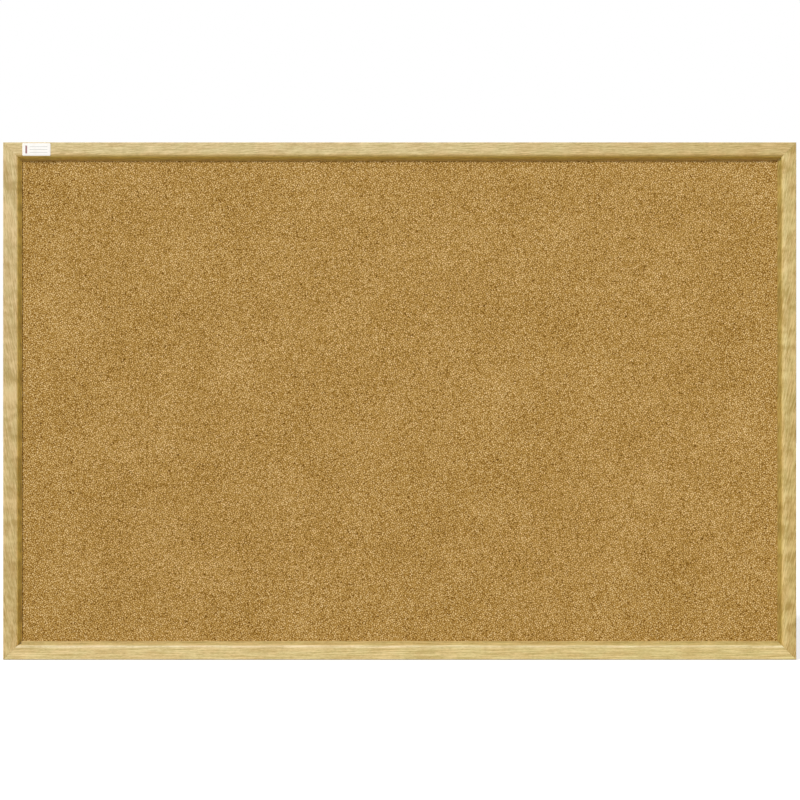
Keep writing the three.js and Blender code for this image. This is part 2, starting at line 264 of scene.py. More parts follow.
# Frame: four lengths of one moulding, pressed from fibreboard and wrapped in an oak-look foil. The
# foil runs round the outer edge onto the back and over the lip; back and rebate stay bare. The
# lengths are mitred, glued and wedged together.
RAIL_WIDTH = 20.5 * MM
RAIL_DEPTH = -face_y
REBATE_WIDTH = 7 * MM
OVOLO_WIDTH = 4.2 * MM
OVOLO_DROP = 5.5 * MM
LEDGE_WIDTH = 3.3 * MM
LIP_THICKNESS = 1.1 * MM
SIGHT_ROUND = 0.4 * MM
OUTER_ROUND = 1 * MM
BACK_ROUND = 0.6 * MM
FOOT_ROUND = 0.3 * MM
FOIL = 0.1 * MM  # step at the foil's edge
FOIL_ON_BACK = 3.5 * MM
FOIL_UNDER_LIP = 3 * MM
EASE = 0.12 * MM  # flats end this far from a round, which keeps their shading flat
MITRE_GLUE = 0.1 * MM / math.sqrt(2)
POCKET_GROW = 0.1 * MM  # play round driven steel
POCKET_PAST = 1 * MM  # how far cutters run on past the back
BARE_GRAIN = -0.05  # where bare board and the pockets' walls lie on the grain map
BORE_RADIUS = 1.65 * MM
BORE_DEPTH = 10.45 * MM
TURNED_SIDES = 32
SHARP = math.radians(32)

BACK_WIDTH = RAIL_WIDTH - REBATE_WIDTH
LEDGE = RAIL_DEPTH - OVOLO_DROP
CORK_FACE = LEDGE - LIP_THICKNESS
STEP_START = RAIL_WIDTH - LEDGE_WIDTH - OVOLO_WIDTH

# Where each length starts, which way it runs and where its stretch of foil starts on the roll.
RAILS = {
    "top_rail": {"start": (-1, 1), "along": (1, 0), "foil_start": 0.0},
    "bottom_rail": {"start": (1, -1), "along": (-1, 0), "foil_start": 2.3},
    "left_stile": {"start": (-1, -1), "along": (0, 1), "foil_start": 4.1},
    "right_stile": {"start": (1, 1), "along": (0, -1), "foil_start": 6.7},
}


def arc(middle, radii, start, end, steps):
    """Points of an ellipse's arc: middle + radii * (cos, sin) of an angle from start to end."""
    angle = np.radians(np.linspace(start, end, steps + 1))
    return np.array(middle) + np.array(radii) * np.stack([np.cos(angle), np.sin(angle)], 1)


def lengths_along(outline):
    """How far along an outline each of its points lies."""
    return np.cumsum(np.linalg.norm(np.diff(outline, axis=0, prepend=outline[:1]), axis=1))


def moulding_outline():
    """The section as rows of (inwards from the outer edge, forwards from the back): the foiled part
    from its edge on the back to its edge under the lip, and then the bare part."""
    foot = (RAIL_WIDTH - LEDGE_WIDTH + FOOT_ROUND, LEDGE + FOOT_ROUND)
    sight = (RAIL_WIDTH - SIGHT_ROUND, LEDGE - SIGHT_ROUND)
    foiled = np.concatenate([
        [(FOIL_ON_BACK, FOIL), (FOIL_ON_BACK, 0), (BACK_ROUND + EASE, 0)],
        arc((BACK_ROUND, BACK_ROUND), BACK_ROUND, 270, 180, steps=5),
        [(0, BACK_ROUND + EASE), (0, RAIL_DEPTH - OUTER_ROUND - EASE)],
        arc((OUTER_ROUND, RAIL_DEPTH - OUTER_ROUND), OUTER_ROUND, 180, 90, steps=8),
        [(OUTER_ROUND + EASE, RAIL_DEPTH), (STEP_START - EASE, RAIL_DEPTH)],
        arc((STEP_START, LEDGE), (OVOLO_WIDTH, OVOLO_DROP), 90, 4, steps=30),
        arc(foot, FOOT_ROUND, 180, 270, steps=4),
        [(sight[0] - EASE, LEDGE)],
        arc(sight, SIGHT_ROUND, 90, 0, steps=5),
        [(RAIL_WIDTH, CORK_FACE), (RAIL_WIDTH - FOIL_UNDER_LIP, CORK_FACE)],
    ])
    bare = np.array([
        (RAIL_WIDTH - FOIL_UNDER_LIP, CORK_FACE + FOIL),
        (BACK_WIDTH, CORK_FACE + FOIL),
        (BACK_WIDTH, FOIL),
    ])
    return foiled, bare


def grid_faces(rows, columns, wrap_rows=False, wrap_columns=False):
    """Faces between neighbours of a grid of points that are numbered row by row."""
    row = np.arange(rows if wrap_rows else rows - 1)[:, None]
    column = np.arange(columns if wrap_columns else columns - 1)[None, :]
    next_row, next_column = (row + 1) % rows, (column + 1) % columns
    corners = [row * columns + column, row * columns + next_column]
    corners += [next_row * columns + next_column, next_row * columns + column]
    return np.stack(np.broadcast_arrays(*corners), -1).reshape(-1, 4)


def new_piece(name, points, faces, body="board"):
    """Puts points and faces into a mesh, closes its seams and poles, turns its faces outwards, and
    shades it smooth but for its sharp edges."""
    mesh = bpy.data.meshes.new(name)
    mesh.from_pydata(np.asarray(points).reshape(-1, 3).tolist(), [], [list(face) for face in faces])
    piece = bpy.data.objects.new(name, mesh)
    bpy.context.scene.collection.objects.link(piece)
    settle(piece)
    if body:
        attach(piece, body)
    return piece


def settle(piece, merge=1e-7):
    """Merges points that lie on each other, turns faces outwards and marks the sharp edges."""
    work = bmesh.new()
    work.from_mesh(piece.data)
    bmesh.ops.remove_doubles(work, verts=work.verts, dist=merge)
    bmesh.ops.recalc_face_normals(work, faces=work.faces)
    work.to_mesh(piece.data)
    work.free()
    piece.data.shade_smooth()
    piece.data.set_sharp_from_angle(angle=SHARP)


def made_solid(piece):
    """Applies a piece's modifiers to its mesh."""
    evaluated = piece.evaluated_get(bpy.context.evaluated_depsgraph_get())
    shaped = bpy.data.meshes.new_from_object(evaluated)
    piece.modifiers.clear()
    piece.data = shaped
    settle(piece)


def node_copy(node, name):
    """A merged copy of a node's mesh, under a name of its own."""
    piece = bpy.data.objects.new(name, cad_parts[node].data.copy())
    piece.data.materials.clear()
    if "custom_normal" in piece.data.attributes:
        piece.data.attributes.remove(piece.data.attributes["custom_normal"])
    bpy.context.scene.collection.objects.link(piece)
    settle(piece, merge=1e-6)
    return piece


def rail(name, start, along, foil_start):
    """Carries the section along the rail: point = corner + along * s + inwards * p - y * q, where s
    runs from p to the length less p, which makes the mitres. The grain map holds s and the distance
    round the section, with the bare part below 0."""
    foiled, bare = moulding_outline()
    outline = np.concatenate([foiled, bare])
    girth = lengths_along(outline)
    girth[len(foiled):] = BARE_GRAIN
    reach = np.array([high[0], high[2]])
    run = np.array(along)
    length = 2 * abs(run @ reach)
    inwards = np.array([run[1], -run[0]])
    set_back = outline[:, 0] + MITRE_GLUE
    s = np.stack([set_back, length - set_back])
    flat = np.array(start) * reach + s[..., None] * run + outline[None, :, :1] * inwards
    points = np.stack([flat[..., 0], np.broadcast_to(-outline[:, 1], s.shape), flat[..., 1]], -1)
    count = len(outline)
    faces = grid_faces(2, count, wrap_columns=True).tolist()
    faces += [list(range(count)), list(range(2 * count - 1, count - 1, -1))]
    piece = new_piece(name + "_moulding", points, faces)
    lay_grain(piece, np.tile(girth, 2), np.array(start) * reach, run, foil_start)
    return piece


def lay_grain(piece, girth, corner, run, foil_start):
    """The grain map: distance along the roll of foil, and round the section. A face with one bare
    corner is bare all over."""
    mesh = piece.data
    grain = mesh.uv_layers.new(name="grain")
    vertex = np.empty(len(mesh.loops), int)
    mesh.loops.foreach_get("vertex_index", vertex)
    place = np.empty(len(mesh.vertices) * 3)
    mesh.vertices.foreach_get("co", place)
    along = (place.reshape(-1, 3)[:, [0, 2]] - corner) @ run
    round_section = girth[vertex].copy()
    counts = np.array([polygon.loop_total for polygon in mesh.polygons])
    lowest = np.minimum.reduceat(round_section, np.r_[0, np.cumsum(counts)[:-1]])
    round_section = np.where(np.repeat(lowest, counts) < 0, BARE_GRAIN, round_section)
    grain.data.foreach_set("uv", np.stack([along[vertex] + foil_start, round_section], 1).ravel())


def driven_into(node, past_back):
    """A cutter for the pocket that a node sits in: its shape grown by the play. A wedge's also runs
    on past the frame's back."""
    cutter = node_copy(node, node + "_pocket")
    work = bmesh.new()
    work.from_mesh(cutter.data)
    normals = [vertex.normal.copy() for vertex in work.verts]
    backmost = max(vertex.co.y for vertex in work.verts)
    for vertex, normal in zip(work.verts, normals):
        on_back = past_back and backmost - vertex.co.y < POCKET_GROW
        # Along an edge's normal, this moves two faces at right angles by the play.
        vertex.co += normal * POCKET_GROW * math.sqrt(2)
        if on_back:
            vertex.co.y = POCKET_PAST
    work.to_mesh(cutter.data)
    work.free()
    return cutter


def turned(name, radius, back, middle, body="board"):
    """Carries a profile of radii and heights round an axis that points back: point = middle +
    (radius * cos a, back, radius * sin a). The radius may also change with the angle."""
    angle = np.linspace(0, 2 * math.pi, TURNED_SIDES, endpoint=False)
    radius = np.asarray(radius, float)
    radius = radius if radius.ndim == 2 else radius[:, None]
    back = np.asarray(back, float)[:, None]
    parts = [radius * np.cos(angle), back + 0 * angle, radius * np.sin(angle)]
    points = np.stack(np.broadcast_arrays(*parts), -1) + np.array(middle)
    return new_piece(name, points, grid_faces(len(back), TURNED_SIDES, wrap_columns=True), body)


def drill(name, middle, start, end):
    """A cutter for the screw's hole, whose heights run from start to end."""
    heights = [start, start, end, end]
    return turned(name, [0, BORE_RADIUS, BORE_RADIUS, 0], heights, middle, body=None)


def cut(piece, cutters):
    """Cuts the cutters out of a piece and removes them."""
    for cutter in cutters:
        if "grain" in piece.data.uv_layers:
            walls = cutter.data.uv_layers.get("grain") or cutter.data.uv_layers.new(name="grain")
            walls.data.foreach_set("uv", np.tile([0.0, BARE_GRAIN], len(cutter.data.loops)))
        boolean = piece.modifiers.new(cutter.name, "BOOLEAN")
        boolean.object, boolean.operation, boolean.solver = cutter, "DIFFERENCE", "EXACT"
    made_solid(piece)
    for cutter in cutters:
        bpy.data.objects.remove(cutter)


# Where the step starts on the grain map, how far the painted highlight on its shoulder reaches to
# each side, where the painted shadow at the sight edge sets in past the step's start, and how far
# glue shows from the foil's edge.
foiled_outline = moulding_outline()[0]
girth_at = lengths_along(foiled_outline)
STEP_AT = float(girth_at[np.argmax(foiled_outline[:, 0] > STEP_START)])
SHOULDER_PAINTED_LIGHT_FADE = (0.8 * MM, 2.4 * MM)
SIGHT_EDGE_PAINTED_SHADOW_AT = (4 * MM, 11 * MM)
GLUE_FADE = (0.3 * MM, 1.3 * MM)

# The print's layers: the size of their features along and across the grain, their detail, and a
# number that sets each apart. The lines' size is each length's own.
FIBRES = {"size": (5 * MM, 0.8 * MM), "detail": 5.0, "apart": 7}
BLOTCHES = {"size": (18 * MM, 30 * MM), "detail": 2.0, "apart": 5}
LINES = {"detail": 2.0, "apart": 9}
TAN_PATCHES = {"size": (32 * MM, 11 * MM), "detail": 1.0, "apart": 17}
PORES = {"size": (4.5 * MM, 0.32 * MM), "detail": 1.0, "apart": 11}
FIGURE_ROUGHNESS = 0.62
FIBRE_SHARE = 0.65
VALUE_REACH = 0.24  # how far the figure's value goes to either side
WANDER = 5 * MM
WANDER_SIZE = (120 * MM, 30 * MM)
FOIL_DARKER = np.array([27, 29, 33])
FOIL_PALER = np.array([17, 18, 20])
TAN_TINT, TAN_SHARE = (1.03, 0.965, 0.97, 1.0), 0.8
PORE_TONE, PORE_SHARE = tone(132, 102, 58), 0.65
GLUE_TONE, GLUE_SHARE = tone(160, 134, 80), 0.7
BOARD_DARK, BOARD_PALE = tone(138, 104, 72), tone(170, 136, 100)
CRUMB = 0.4 * MM
FOIL_RELIEF = 0.06 * MM

# For each length: the foil's tone at its start and at its end, and between which shares of it the
# tone changes. These tones are partly the print's own and partly painted light: the rails are paler
# than the stiles, and every length pales towards the upper left. Then the tints of painted light
# and shade on the step: a painted highlight on its shoulder (painted light where the shoulder lies
# in shade), painted light and shade in the recess and a painted shadow at the sight edge, and where
# the first two lie, past the start of the step. Then the figure: shares of broad blotches and of
# fine lines, the lines' length and width, their slope, and the contrast of dark and pale.
FOILS = {
    "top_rail": {
        "tones_with_painted_light": ((205, 186, 133), (195, 172, 113)),
        "tones_with_painted_light_at": (0.45, 1.0),
        "shoulder_painted_light": (1.0, 0.95, 0.88),
        "shoulder_painted_light_at": 0.001,
        "recess_painted_shading": (1.0, 0.88, 0.28),
        "recess_painted_shading_at": (-0.001, 0.006),
        "sight": (0.55, 0.42, 0.2),
        "broad": 0.15,
        "fine": 1.0,
        "line": (0.020, 0.0009),
        "slope": 0.04,
        "contrast": 1.0,
    },
    "bottom_rail": {
        "tones_with_painted_light": ((206, 187, 125), (210, 190, 132)),
        "tones_with_painted_light_at": (0.1, 0.9),
        "shoulder_painted_light": (1.0, 1.05, 1.32),
        "shoulder_painted_light_at": 0.0022,
        "recess_painted_shading": (0.82, 0.8, 0.7),
        "recess_painted_shading_at": (0.0028, 0.0058),
        "sight": (0.96, 0.9, 0.84),
        "broad": 0.2,
        "fine": 1.0,
        "line": (0.045, 0.0012),
        "slope": 0.012,
        "contrast": 1.0,
    },
    "left_stile": {
        "tones_with_painted_light": ((192, 168, 109), (197, 175, 121)),
        "tones_with_painted_light_at": (0.05, 0.95),
        "shoulder_painted_light": (1.52, 1.54, 1.66),
        "shoulder_painted_light_at": 0.0025,
        "recess_painted_shading": (1.42, 1.38, 0.64),
        "recess_painted_shading_at": (0.0008, 0.007),
        "sight": (0.54, 0.43, 0.22),
        "broad": 0.85,
        "fine": 0.75,
        "line": (0.018, 0.0015),
        "slope": 0.16,
        "contrast": 0.98,
    },
    "right_stile": {
        "tones_with_painted_light": ((191, 168, 106), (186, 161, 96)),
        "tones_with_painted_light_at": (0.05, 0.95),
        "shoulder_painted_light": (1.1, 1.14, 1.24),
        "shoulder_painted_light_at": -0.0008,
        "recess_painted_shading": (0.7, 0.67, 0.38),
        "recess_painted_shading_at": (0.0025, 0.006),
        "sight": (0.96, 0.9, 0.8),
        "broad": 0.8,
        "fine": 0.9,
        "line": (0.018, 0.0018),
        "slope": -0.2,
        "contrast": 1.0,
    },
}


def oak_foil(
    name, seed, tones_with_painted_light, tones_with_painted_light_at, contrast, broad, fine, line, slope,
    shoulder_painted_light, shoulder_painted_light_at, recess_painted_shading, recess_painted_shading_at, sight,
):
    """Printed oak under a satin lacquer, on the grain map. One value adds up broad blotches, growth
    lines that wander along the length and fine fibres, and runs from a dark to a pale oak. Patches
    of tan, short pores and the step's tints of painted light and shade lie on top, and glue darkens
    the foil's edge on the back. The bare board is brown."""
    oak = Finish(bpy.data.materials.new(name))
    place = oak.add("UVMap", {"uv_map": "grain"})
    s, v = oak.part(place, 0), oak.part(place, 1)
    wander = oak.noise(oak.vector(s / WANDER_SIZE[0], v / WANDER_SIZE[1], seed), 2.0) - 0.5
    across = v + s * slope + wander * WANDER

    def layer(size, detail, apart):
        """Noise whose features have the given size along and across the wandering grain."""
        here = oak.vector(s / size[0], across / size[1], seed + apart)
        return oak.noise(here, detail, FIGURE_ROUGHNESS)

    lines, fibres, blotches = layer(line, **LINES), layer(**FIBRES), layer(**BLOTCHES)
    value = (blotches - 0.5) * broad + (lines - 0.5) * fine + (fibres - 0.5) * FIBRE_SHARE
    # Partly painted light: over the print's own tone, each length's tone grows paler towards the
    # board's upper left, and the rails are paler than the stiles.
    first, last = (np.array(end) for end in tones_with_painted_light)
    length = 2 * abs(np.array(RAILS[name]["along"]) @ high[[0, 2]])
    along = (s - RAILS[name]["foil_start"]).rise(tones_with_painted_light_at[0] * length, tones_with_painted_light_at[1] * length)

    def shifted(shift):
        """The tone along the length, made darker or paler."""
        return oak.mix(along, tone(*(first + contrast * shift)), tone(*(last + contrast * shift)))

    def past_step(start, end):
        """Goes from 0 to 1 between two places past the start of the step."""
        return v.rise(STEP_AT + start, STEP_AT + end)

    dark, pale = shifted(-FOIL_DARKER), shifted(FOIL_PALER)
    wood = oak.mix(value.rise(-VALUE_REACH, VALUE_REACH), dark, pale)
    tan = layer(**TAN_PATCHES).rise(0.38, 0.62)
    wood = oak.mix(tan * TAN_SHARE, wood, TAN_TINT, "MULTIPLY")
    pores = layer(**PORES).rise(0.6, 0.7) * (1 - value.rise(-0.12, 0.2))
    wood = oak.mix(pores * PORE_SHARE, wood, PORE_TONE)
    # Painted light and shade on the step: the shoulder is paled as a painted highlight, or lit
    # where it lies in shade, the recess gets painted light and shade, and the sight edge a painted
    # shadow.
    on_shoulder_painted_light = 1 - abs(v - STEP_AT - shoulder_painted_light_at).rise(*SHOULDER_PAINTED_LIGHT_FADE)
    tints = [
        (on_shoulder_painted_light, shoulder_painted_light),
        (past_step(*recess_painted_shading_at), recess_painted_shading),
        (past_step(*SIGHT_EDGE_PAINTED_SHADOW_AT), sight),
    ]
    for share, tint in tints:
        wood = oak.mix(share, wood, (*tint, 1.0), "MULTIPLY")
    glue = (1 - abs(v).rise(*GLUE_FADE)) * (0.35 + 0.5 * blotches)
    wood = oak.mix(glue * GLUE_SHARE, wood, GLUE_TONE)

    crumbs = oak.noise(oak.object_place(CRUMB), 4.0, 0.7)
    board = oak.mix(crumbs.rise(0.2, 0.8), BOARD_DARK, BOARD_PALE)
    bare = (v * -1).rise(0.0, 0.01)
    height = (fibres * 0.5 + (1 - pores) * 0.5) * (1 - bare) + crumbs * bare
    return oak.surface({
        "Base Color": oak.mix(bare, wood, board),
        "Specular IOR Level": 0.4,
        "Roughness": 0.42 + 0.12 * fibres + 0.1 * glue + 0.33 * bare,
        "Normal": oak.bump(height, FOIL_RELIEF),
    })


for seed, (name, way) in enumerate(RAILS.items()):
    moulding = rail(name, **way)
    side = name.split("_")[0]
    points = [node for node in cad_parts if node.startswith(side + "_point_")]
    wedges = [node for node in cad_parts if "_wedge_" in node and side in node]
    cutters = [driven_into(node, past_back=node in wedges) for node in points + wedges]
    if side + "_hanger_screw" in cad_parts:
        screw_low, screw_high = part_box(side + "_hanger_screw")
        middle = ((screw_low[0] + screw_high[0]) / 2, 0, (screw_low[2] + screw_high[2]) / 2)
        cutters.append(drill(name + "_bore", middle, -BORE_DEPTH, POCKET_PAST))
    cut(moulding, cutters)
    moulding.data.materials.append(oak_foil(name, seed=10.0 * seed, **FOILS[name]))
    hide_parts(name)

# Cork: ground cork pressed with a binder into a sheet and sanded, so that the granules show as a
# mosaic of pale, tan and dark grains about one to two millimetres across. It is glued to the core.
CORK_PITCH = 2.4 * MM
CORK_RELIEF = 0.16 * MM
GRANULE = 2.1 * MM
FINE_GRANULE = 0.95 * MM
SCATTER = 0.85  # 0 puts the granules on a grid
RAGGED = 0.3  # in granules: how far noise moves their outlines
LAID_AT = math.radians(31)
SEAM = 0.175  # in granules: from a seam's middle to where it has faded
PALE_MIDDLE = (0.15, 0.55)  # in granules: how far from a middle paleness starts and ends to fade
BARK = (0.03, 0.12)  # shares of the granules that are all bark, and at least partly so
PALE_SHARE = 0.5
OWN_SHARE = 0.2
BARK_SHARE = 0.2
SHADE_SUM = 2.75  # about what the shares come to, with 1 each for the seams and the fine granules
CLOUD = 70 * MM
CLOUD_SHARE = 0.14
CORK_BUMP = 0.12 * MM
CORK_TONES = [
    (0.08, tone(74, 38, 2)),
    (0.28, tone(132, 92, 26)),
    (0.49, tone(166, 128, 57)),
    (0.68, tone(192, 155, 89)),
    (0.89, tone(230, 200, 147)),
]


def laminate_layer(name, node, pitch, relief, seed, faces_back=False):
    """A sheet whose outer face is a grid of points at even pitch, each sunk by a random share of
    the relief, with a flat far side: depth = face - relief * share(x, z)."""
    near, far = (np.array(corner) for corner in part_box(node))
    counts = [max(2, round((far[i] - near[i]) / pitch) + 1) for i in (0, 2)]
    x, z = np.meshgrid(*(np.linspace(near[i], far[i], n) for i, n in zip((0, 2), counts)))
    share = np.random.default_rng(seed).random(x.shape)
    share[[0, -1], :] = share[:, [0, -1]] = 0
    y = far[1] - relief * share if faces_back else near[1] + relief * share
    rows, columns = x.shape
    face = np.stack([x, y, z], -1).reshape(-1, 3)
    rim = np.concatenate([
        np.arange(columns),
        np.arange(2, rows) * columns - 1,
        np.arange(rows * columns - 1, (rows - 1) * columns - 1, -1),
        np.arange(rows - 2, 0, -1) * columns,
    ])
    flat = face[rim].copy()
    flat[:, 1] = near[1] if faces_back else far[1]
    points = np.concatenate([face, flat])
    count, first = len(rim), rows * columns
    here = np.arange(count)
    there = (here + 1) % count
    walls = np.stack([rim[here], rim[there], first + there, first + here], 1)
    faces = grid_faces(rows, columns).tolist() + walls.tolist()
    faces.append(list(range(first, first + count)))
    return new_piece(name, points, faces)


def cork_granules():
    """Cells about two millimetres across with dark seams of binder between them, each paler at its
    middle and of its own tone, and a few dark with bark. They lie over smaller cells of one tone
    each and slow clouds. The pattern is a level cut through cells in space, turned on the sheet,
    and noise makes their outlines ragged."""
    cork = Finish(bpy.data.materials.new("pressed_cork"))
    here = cork.add("TexCoord", out="Object")
    turn = {"Vector": here, "Rotation": (0, LAID_AT, 0), "Scale": (1 / GRANULE,) * 3}
    here = cork.add("Mapping", None, turn)
    ragged = cork.add("TexNoise", None, {"Vector": here, "Scale": 2.5, "Detail": 1.0}, "Color")
    x, z = (cork.part(here, i) + cork.part(ragged, i) * RAGGED for i in (0, 2))
    cells = {"Vector": cork.vector(x, z, SCATTER / 2), "Scale": 1.0, "Randomness": SCATTER}
    from_middle = cork.add("TexVoronoi", None, cells, "Distance")
    own = cork.part(cork.add("TexVoronoi", None, cells, "Color"), 0)
    from_seam = cork.add("TexVoronoi", {"feature": "DISTANCE_TO_EDGE"}, cells)
    fine_cells = {"Vector": cork.object_place(FINE_GRANULE), "Scale": 1.0}
    fine = cork.part(cork.add("TexVoronoi", None, fine_cells, "Color"), 0)
    bark = 1 - own.rise(*BARK)
    shade = from_seam.rise(0.0, SEAM) + (1 - from_middle.rise(*PALE_MIDDLE)) * PALE_SHARE
    clouds = cork.noise(cork.object_place(CLOUD), 3.0) - 0.5
    shade = (shade + fine + own * OWN_SHARE - bark * BARK_SHARE) / SHADE_SUM + clouds * CLOUD_SHARE
    return cork.surface({
        "Base Color": cork.add("ValToRGB", {"stops": CORK_TONES}, {0: shade}),
        "Specular IOR Level": 0.15,
        "Roughness": 0.82 + 0.12 * shade,
        "Normal": cork.bump(shade, CORK_BUMP),
    })


cork_sheet = laminate_layer("cork_face", "cork_sheet", CORK_PITCH, CORK_RELIEF, seed=4)
cork_sheet.data.materials.append(cork_granules())
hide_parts("cork_sheet")

# Core: a board of felted softwood fibres, light enough for a pin to go in by hand and tight enough
# to hold it. Only its sawn edges show, in the gap round the panel.
FELT_FIBRE = 0.9 * MM
FELT_LUMP = 6 * MM
FELT_RELIEF = 0.3 * MM
FELT_DARK, FELT_PALE = tone(118, 94, 66), tone(176, 148, 112)
FELT_GREY = tone(132, 108, 84)


def softboard():
    """Pale and dark fibres at two scales in a grey-brown felt."""
    felt = Finish(bpy.data.materials.new("softboard"))
    fibres = felt.noise(felt.object_place(FELT_FIBRE), 4.0, 0.7)
    lumps = felt.noise(felt.object_place(FELT_LUMP), 2.0)
    colour = felt.mix(fibres.rise(0.35, 0.65), FELT_DARK, FELT_PALE)
    colour = felt.mix(lumps.rise(0.3, 0.7) * 0.3, colour, FELT_GREY)
    return felt.surface({
        "Base Color": colour,
        "Roughness": 0.9 + 0.08 * fibres,
        "Normal": felt.bump(fibres, FELT_RELIEF),
    })


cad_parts["core_board"].material_slots[0].material = softboard()

# Backing paper: brown kraft paper glued over the back of the core, so that the panel pulls evenly
# and stays flat. It has taken on the core's faint waves, and its fibres run along the sheet.
PAPER_PITCH = 16 * MM
PAPER_RELIEF = 0.12 * MM
PAPER_FIBRES = (420.0, 1400.0, 1400.0)  # features to the metre, along the sheet, through it and up
PAPER_LINES = (2.0, 450.0, 450.0)
PAPER_PULP = 3.5 * MM
PAPER_SPECK = 1.6 * MM
PAPER_BUMP = 0.15 * MM
KRAFT_DARK, KRAFT_PALE = tone(158, 122, 80), tone(192, 156, 110)
LINE_TONE, PULP_TONE, SPECK_TONE = tone(200, 166, 122), tone(156, 116, 74), tone(108, 76, 46)


def kraft_paper():
    """Fibres and fine machine lines along the sheet, a close mottle of pale and dark pulp, and
    scattered dark specks."""
    paper = Finish(bpy.data.materials.new("kraft_paper"))
    fibres = paper.noise(paper.stretched_place(PAPER_FIBRES), 4.0, 0.75)
    lines = paper.noise(paper.stretched_place(PAPER_LINES), 2.0)
    pulp = paper.noise(paper.object_place(PAPER_PULP), 4.0, 0.7)
    specks = paper.noise(paper.object_place(PAPER_SPECK), 1.0).rise(0.68, 0.76)
    colour = paper.mix(fibres.rise(0.2, 0.8), KRAFT_DARK, KRAFT_PALE)
    colour = paper.mix(lines.rise(0.4, 0.7) * 0.3, colour, LINE_TONE)
    colour = paper.mix(pulp.rise(0.35, 0.65) * 0.4, colour, PULP_TONE)
    colour = paper.mix(specks * 0.45, colour, SPECK_TONE)
    return paper.surface({
        "Base Color": colour,
        "Roughness": 0.66 + 0.2 * fibres,
        "Normal": paper.bump(fibres * 0.4 + lines * 0.6, PAPER_BUMP),
    })


backing = laminate_layer(
    "kraft_backing", "backing_paper", PAPER_PITCH, PAPER_RELIEF, seed=9, faces_back=True
)
backing.data.materials.append(kraft_paper())
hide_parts("backing_paper")

# Points and wedges: sixteen flat points of hard steel strip, driven into the rebate's wall to hold
# the panel, and eight V-shaped wedges, pressed across the mitres to close them.
STEEL_EDGE = 0.12 * MM
STEEL_PATCH = 2.6 * MM
STEEL_RELIEF = 0.02 * MM


def steel(name, dark, bright, roughness, marks, tarnish):
    """Rolled sheet or wire: streaks along the rolling, with so many marks to the metre along each
    axis, clouded by slow dull patches."""
    metal = Finish(bpy.data.materials.new(name))
    streaks = metal.noise(metal.stretched_place(marks), 3.0, 0.6)
    patches = metal.noise(metal.object_place(STEEL_PATCH), 3.0)
    colour = metal.mix(streaks.rise(0.3, 0.7), tone(*dark), tone(*bright))
    colour = metal.mix(patches.rise(0.45, 0.75) * 0.4, colour, tone(*tarnish))
    return metal.surface({
        "Base Color": colour,
        "Metallic": 1.0,
        "Roughness": roughness + 0.18 * patches + 0.1 * streaks,
        "Normal": metal.bump(streaks, STEEL_RELIEF),
    })


def eased(piece, width):
    """Rounds a piece's sharp edges."""
    bevel = piece.modifiers.new("edges", "BEVEL")
    bevel.width, bevel.segments, bevel.limit_method = width, 2, "ANGLE"


bare_steel = steel(
    "bare_steel",
    dark=(118, 121, 126),
    bright=(168, 170, 174),
    roughness=0.3,
    marks=(900.0, 2500.0, 260.0),
    tarnish=(96, 88, 80),
)

for node in [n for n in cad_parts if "_point_" in n or "_wedge_" in n]:
    driven = node_copy(node, node.replace("point", "steel_point").replace("wedge", "steel_wedge"))
    eased(driven, STEEL_EDGE)
    driven.data.materials.append(bare_steel)
    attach(driven, "board")
    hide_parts(node)

# Hangers: on each stile a zinc-plated strip, folded round the bar of a wire ring and closed on
# itself, with one screw through both leaves. The ring swings up over a wall hook.
STRAP = 0.8 * MM
STRAP_HALF = 3.75 * MM
STRAP_EDGE = 0.14 * MM
STRAP_REACH = 14.5 * MM  # bar to screw
LEAF_GAP = 0.1 * MM
FOLD_RADIUS = 0.8 * MM
WIRE_RADIUS = 0.9 * MM
WIRE_PLAY = 0.2 * MM
EYE_RADIUS = WIRE_RADIUS + WIRE_PLAY + STRAP / 2  # to the middle of the strip
EYE_CENTRE = EYE_RADIUS + STRAP / 2
STRAP_TOP = 2 * STRAP + LEAF_GAP
STRAP_COLUMNS = 7
LEAF_ROWS = [-9 * MM, -4.5 * MM, -2.6 * MM]  # up the straight part of a leaf
STRAP_HOLE = (-1 * MM, 4 * MM)  # from below the strap to above it
RING_HALF = 5.5 * MM
RING_CORNER = 1.5 * MM
RING_LEG = 2.5 * MM
RING_BUTT = 0.4 * MM
RING_REST_GAP = 0.3 * MM
RING_SIDES = 18
RING_ENDS = np.array([0, 0.06, 0.2, 0.45, 1.5]) * MM  # rows along the bar from the wire's end
RING_END_SIZES = np.array([0, 0.62, 0.88, 1])  # radius there, as a share: the end is rounded


